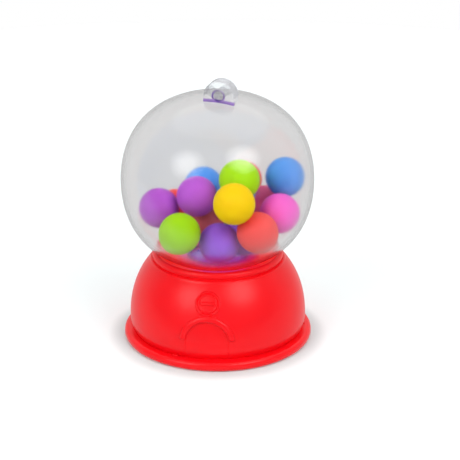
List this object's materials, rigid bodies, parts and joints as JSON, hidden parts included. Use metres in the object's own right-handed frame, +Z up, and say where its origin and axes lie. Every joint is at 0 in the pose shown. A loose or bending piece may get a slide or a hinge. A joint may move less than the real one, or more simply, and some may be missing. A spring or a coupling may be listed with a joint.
{
  "type": "toy gumball machine",
  "caption": "Toy gumball machine: a clear globe of loose coloured balls with a hanging lug, turning in a red moulded base with a relief dial and delivery arch.",
  "frame": {"origin": "centre of the foot on the surface it stands on, on the axis of the base", "axes": "+Z up along the axis of the globe and base, -Y towards the dial and the delivery arch"},
  "size_m": [0.06, 0.06, 0.0853],
  "materials": {
    "base_red": "moulded, satin gloss",
    "clear_shell": "clear moulded, polished",
    "clear_lug": "clear moulded, faint violet at the edges",
    "clear_stopper": "clear moulded",
    "ball_yellow": "moulded, satin",
    "ball_purple": "moulded, satin",
    "ball_blue": "moulded, satin",
    "ball_green": "moulded, satin",
    "ball_pink": "moulded, satin",
    "ball_red": "moulded, satin"
  },
  "bodies": {
    "base": {"base_housing": "base_red"},
    "globe": {"globe": "clear_shell", "neck_plug": "clear_stopper", "hanger_lug": "clear_lug"},
    "ball_blue_mid": {"ball_blue_mid": "ball_blue"},
    "ball_blue_rear": {"ball_blue_rear": "ball_blue"},
    "ball_blue_right": {"ball_blue_right": "ball_blue"},
    "ball_green_back": {"ball_green_back": "ball_green"},
    "ball_green_front": {"ball_green_front": "ball_green"},
    "ball_green_top": {"ball_green_top": "ball_green"},
    "ball_pink_rear": {"ball_pink_rear": "ball_pink"},
    "ball_pink_right": {"ball_pink_right": "ball_pink"},
    "ball_purple_front": {"ball_purple_front": "ball_purple"},
    "ball_purple_left": {"ball_purple_left": "ball_purple"},
    "ball_purple_low": {"ball_purple_low": "ball_purple"},
    "ball_purple_mid": {"ball_purple_mid": "ball_purple"},
    "ball_red_core": {"ball_red_core": "ball_red"},
    "ball_red_front": {"ball_red_front": "ball_red"},
    "ball_red_left": {"ball_red_left": "ball_red"},
    "ball_red_rear": {"ball_red_rear": "ball_red"},
    "ball_yellow_front": {"ball_yellow_front": "ball_yellow"}
  },
  "joints": [
    {"name": "globe_twist", "type": "hinge", "parent": "base", "child": "globe", "pos_m": [0, 0, 0.0519], "axis": [0, 0, 1], "continuous": true},
    {"name": "blue_mid_roll", "type": "hinge", "parent": "globe", "child": "ball_blue_mid", "pos_m": [0.00515, 0.00543, 0.04631], "axis": [1, 0, 0], "continuous": true},
    {"name": "blue_rear_hop", "type": "slide", "parent": "globe", "child": "ball_blue_rear", "axis": [0, 0, 1], "range_m": [0, 0.0214]},
    {"name": "blue_right_hop", "type": "slide", "parent": "globe", "child": "ball_blue_right", "axis": [0, 0, 1], "range_m": [0, 0.0065]},
    {"name": "green_back_roll", "type": "hinge", "parent": "globe", "child": "ball_green_back", "pos_m": [0.00194, 0.01225, 0.03444], "axis": [1, 0, 0], "continuous": true},
    {"name": "green_front_hop", "type": "slide", "parent": "globe", "child": "ball_green_front", "axis": [0, 0, 1], "range_m": [0, 0.0232]},
    {"name": "green_top_hop", "type": "slide", "parent": "globe", "child": "ball_green_top", "axis": [0, 0, 1], "range_m": [0, 0.0167]},
    {"name": "pink_rear_roll", "type": "hinge", "parent": "globe", "child": "ball_pink_rear", "pos_m": [0.01364, 0.01207, 0.0395], "axis": [1, 0, 0], "continuous": true},
    {"name": "pink_right_roll", "type": "hinge", "parent": "globe", "child": "ball_pink_right", "pos_m": [0.01963, -0.00241, 0.04238], "axis": [1, 0, 0], "continuous": true},
    {"name": "purple_front_roll", "type": "hinge", "parent": "globe", "child": "ball_purple_front", "pos_m": [0.00184, -0.01102, 0.03505], "axis": [1, 0, 0], "continuous": true},
    {"name": "purple_left_roll", "type": "hinge", "parent": "globe", "child": "ball_purple_left", "pos_m": [-0.01805, -0.00318, 0.04281], "axis": [1, 0, 0], "continuous": true},
    {"name": "purple_low_roll", "type": "hinge", "parent": "globe", "child": "ball_purple_low", "pos_m": [0.00816, -0.00014, 0.03296], "axis": [1, 0, 0], "continuous": true},
    {"name": "purple_mid_hop", "type": "slide", "parent": "globe", "child": "ball_purple_mid", "axis": [0, 0, 1], "range_m": [0, 0.0231]},
    {"name": "red_core_roll", "type": "hinge", "parent": "globe", "child": "ball_red_core", "pos_m": [-0.00429, 0.00127, 0.03623], "axis": [1, 0, 0], "continuous": true},
    {"name": "red_front_roll", "type": "hinge", "parent": "globe", "child": "ball_red_front", "pos_m": [0.01379, -0.01355, 0.04031], "axis": [1, 0, 0], "continuous": true},
    {"name": "red_left_roll", "type": "hinge", "parent": "globe", "child": "ball_red_left", "pos_m": [-0.01469, 0.00831, 0.03842], "axis": [1, 0, 0], "continuous": true},
    {"name": "red_rear_hop", "type": "slide", "parent": "globe", "child": "ball_red_rear", "axis": [0, 0, 1], "range_m": [0, 0.0142]},
    {"name": "yellow_front_roll", "type": "hinge", "parent": "globe", "child": "ball_yellow_front", "pos_m": [0.0071, -0.01714, 0.05055], "axis": [1, 0, 0], "continuous": true}
  ]
}
